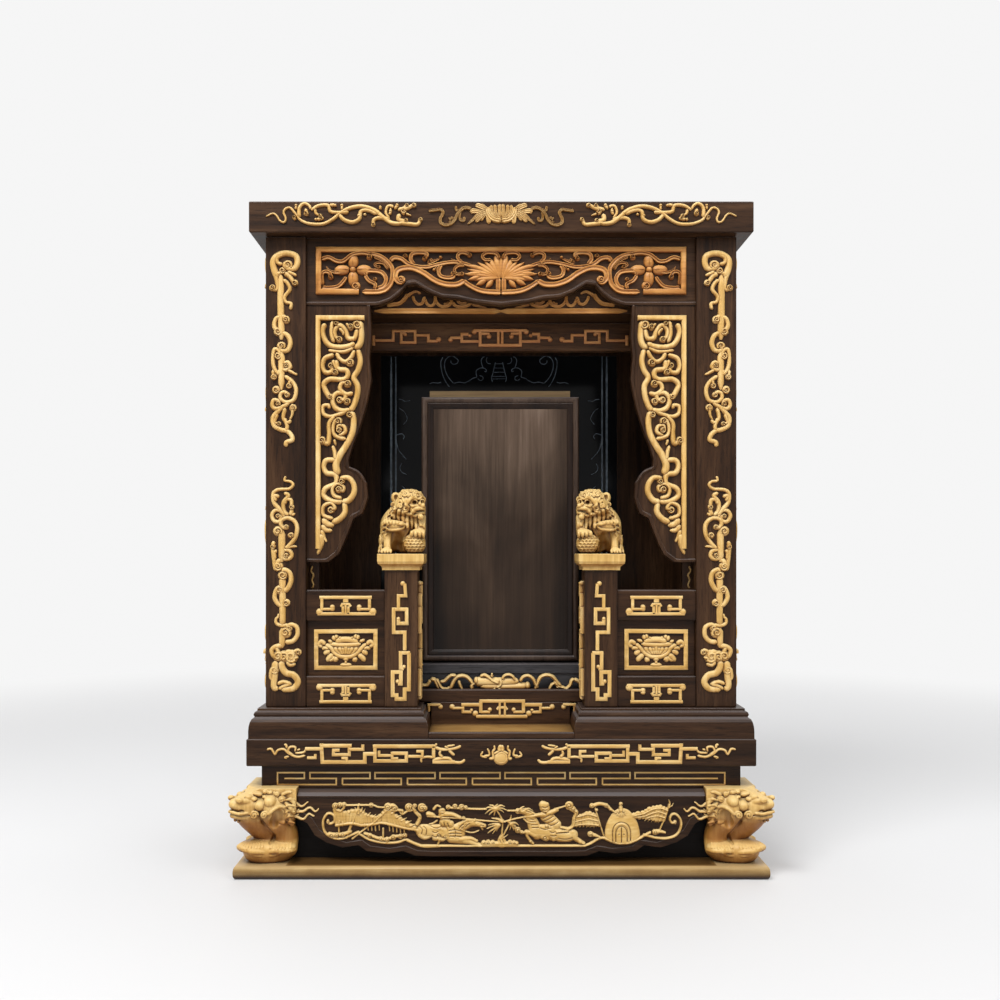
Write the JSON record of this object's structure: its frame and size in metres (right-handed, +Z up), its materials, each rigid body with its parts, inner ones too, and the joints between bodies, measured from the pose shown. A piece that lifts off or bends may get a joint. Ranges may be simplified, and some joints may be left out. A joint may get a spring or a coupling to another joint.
{
  "type": "chinese ancestor shrine",
  "caption": "Dark wood tabletop ancestor shrine with pale relief carving, lion feet, a railed porch with guardian lions and a covered ancestor tablet on a dais.",
  "frame": {"origin": "centre of the underside of the ground board, which rests on the table", "axes": "+Z up, the open front faces -Y, +X to the right of someone looking at the front"},
  "size_m": [0.492, 0.238, 0.61],
  "materials": {
    "dark_wood": "satin dark rosewood stain",
    "carved_wood": "pale carved boxwood, satin",
    "pale_wood": "pale wood, satin",
    "lion_wood": "pale carved boxwood, satin",
    "walnut": "figured walnut, satin lacquer",
    "dais_paint": "blue-black stained wood, satin",
    "black_glass": "black polished glass with fine engraved lines"
  },
  "bodies": {
    "shrine": {"ground_board": "pale_wood", "inner_skirt": "dark_wood", "shoulder_moulding": "dark_wood", "waist_frame": "dark_wood", "platform_slab": "dark_wood", "foot_front_left": "lion_wood", "foot_front_right": "lion_wood", "foot_rear_left": "lion_wood", "foot_rear_right": "lion_wood", "front_apron": "dark_wood", "right_apron": "dark_wood", "rear_apron": "dark_wood", "left_apron": "dark_wood", "left_pedestal": "dark_wood", "right_pedestal": "dark_wood", "tread_nosing": "dark_wood", "tread_board": "pale_wood", "threshold_rail": "dark_wood", "dais_fascia": "dais_paint", "dais_board": "dais_paint", "ribbon_scroll": "carved_wood", "post_front_left": "dark_wood", "post_front_right": "dark_wood", "post_rear_left": "dark_wood", "post_rear_right": "dark_wood", "left_side_panel": "dark_wood", "right_side_panel": "dark_wood", "back_frame": "dark_wood", "back_glass": "black_glass", "back_board": "dark_wood", "left_newel": "dark_wood", "right_newel": "dark_wood", "left_lower_rail": "dark_wood", "right_lower_rail": "dark_wood", "left_rail_panel": "dark_wood", "right_rail_panel": "dark_wood", "left_upper_rail": "dark_wood", "right_upper_rail": "dark_wood", "left_guardian_lion": "lion_wood", "right_guardian_lion": "lion_wood", "top_lambrequin": "dark_wood", "left_lambrequin": "dark_wood", "right_lambrequin": "dark_wood", "top_carving": "carved_wood", "left_carving": "carved_wood", "right_carving": "carved_wood", "inner_lambrequin": "dark_wood", "left_inner_pilaster": "dark_wood", "right_inner_pilaster": "dark_wood", "ceiling_board": "dark_wood", "fret_beam": "dark_wood", "cornice_frame": "dark_wood", "roof_board": "dark_wood"},
    "tablet": {"tablet_case": "walnut"},
    "tablet_cover": {"tablet_cover_frame": "walnut", "tablet_cover_panel": "walnut"},
    "slip_1": {"name_slip_1": "pale_wood"},
    "slip_2": {"name_slip_2": "pale_wood"},
    "slip_3": {"name_slip_3": "pale_wood"},
    "slip_4": {"name_slip_4": "pale_wood"}
  },
  "joints": [
    {"name": "tablet_slide", "type": "slide", "parent": "shrine", "child": "tablet", "axis": [0, -1, 0], "range_m": [0, 0.012]},
    {"name": "cover_lift", "type": "slide", "parent": "tablet", "child": "tablet_cover", "axis": [0, 0, 1], "range_m": [0, 0.04]},
    {"name": "slip_1_lift", "type": "slide", "parent": "tablet", "child": "slip_1", "axis": [0, 0, 1], "range_m": [0, 0.035]},
    {"name": "slip_2_lift", "type": "slide", "parent": "tablet", "child": "slip_2", "axis": [0, 0, 1], "range_m": [0, 0.035]},
    {"name": "slip_3_lift", "type": "slide", "parent": "tablet", "child": "slip_3", "axis": [0, 0, 1], "range_m": [0, 0.035]},
    {"name": "slip_4_lift", "type": "slide", "parent": "tablet", "child": "slip_4", "axis": [0, 0, 1], "range_m": [0, 0.035]}
  ]
}
